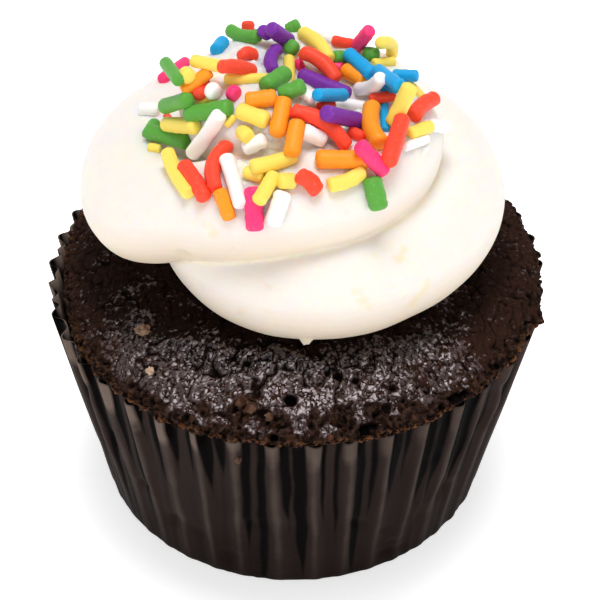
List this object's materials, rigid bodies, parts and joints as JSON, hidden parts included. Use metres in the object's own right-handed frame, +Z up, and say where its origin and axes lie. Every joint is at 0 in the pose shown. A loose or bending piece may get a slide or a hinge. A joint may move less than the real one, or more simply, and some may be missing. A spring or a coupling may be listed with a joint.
{
  "type": "cupcake",
  "caption": "Chocolate cupcake in a dark pleated paper case, with a white frosting swirl piped by a plain round tip and rainbow sugar strands on top.",
  "frame": {"origin": "middle of the paper case's flat foot, on the surface the cupcake stands on", "axes": "+Z up; -Y is the front, the side where the swirl's second turn crosses over the start of the first"},
  "size_m": [0.064, 0.0641, 0.0678],
  "materials": {
    "case_paper": "satin",
    "chocolate_crust": "satin",
    "white_frosting": "satin"
  },
  "bodies": {
    "root": {"paper_case": "case_paper", "cake": "chocolate_crust", "frosting": "white_frosting"}
  },
  "joints": []
}
